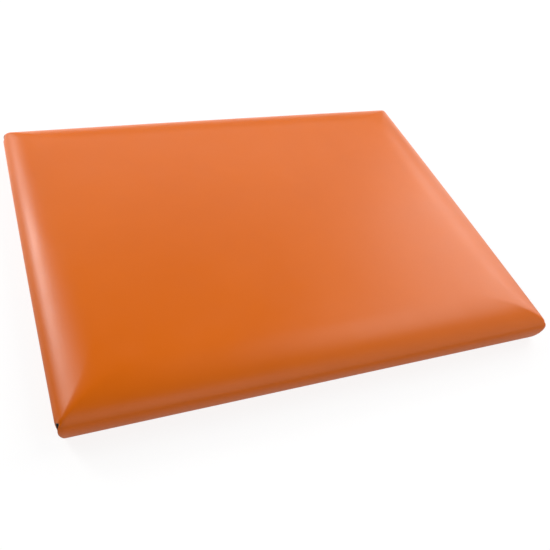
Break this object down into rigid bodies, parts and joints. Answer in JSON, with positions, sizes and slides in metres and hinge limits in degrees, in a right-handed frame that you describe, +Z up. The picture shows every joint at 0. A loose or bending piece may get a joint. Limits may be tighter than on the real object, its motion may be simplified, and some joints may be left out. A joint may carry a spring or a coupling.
{
  "type": "upholstered pad",
  "caption": "Flat rectangular padded board: plywood, foam and wadding under one sheet of smooth vinyl with a crowned edge, and T-nuts for bolting it down.",
  "frame": {"origin": "middle of the underside, in the plane of the dust cover that the pad rests on", "axes": "+X along the long side, +Y along the short side, +Z up out of the padded face"},
  "size_m": [0.6128, 0.4798, 0.0506],
  "materials": {
    "orange_vinyl": "satin",
    "plywood": "matte",
    "firm_foam": "matte",
    "soft_foam": "matte",
    "wadding": "matte",
    "black_liner": "matte",
    "zinc_steel": "satin",
    "staple_steel": "satin"
  },
  "bodies": {
    "root": {"base_board": "plywood", "firm_foam": "firm_foam", "soft_foam": "soft_foam", "wadding": "wadding", "vinyl_cover": "orange_vinyl", "dust_cover": "black_liner", "t_nut_front_left": "zinc_steel", "t_nut_front_right": "zinc_steel", "t_nut_back_left": "zinc_steel", "t_nut_back_right": "zinc_steel", "staple_front_01": "staple_steel", "staple_front_02": "staple_steel", "staple_front_03": "staple_steel", "staple_front_04": "staple_steel", "staple_front_05": "staple_steel", "staple_front_06": "staple_steel", "staple_front_07": "staple_steel", "staple_front_08": "staple_steel", "staple_front_09": "staple_steel", "staple_front_10": "staple_steel", "staple_back_01": "staple_steel", "staple_back_02": "staple_steel", "staple_back_03": "staple_steel", "staple_back_04": "staple_steel", "staple_back_05": "staple_steel", "staple_back_06": "staple_steel", "staple_back_07": "staple_steel", "staple_back_08": "staple_steel", "staple_back_09": "staple_steel", "staple_back_10": "staple_steel", "staple_left_01": "staple_steel", "staple_left_02": "staple_steel", "staple_left_03": "staple_steel", "staple_left_04": "staple_steel", "staple_left_05": "staple_steel", "staple_left_06": "staple_steel", "staple_left_07": "staple_steel", "staple_left_08": "staple_steel", "staple_right_01": "staple_steel", "staple_right_02": "staple_steel", "staple_right_03": "staple_steel", "staple_right_04": "staple_steel", "staple_right_05": "staple_steel", "staple_right_06": "staple_steel", "staple_right_07": "staple_steel", "staple_right_08": "staple_steel"}
  },
  "joints": []
}
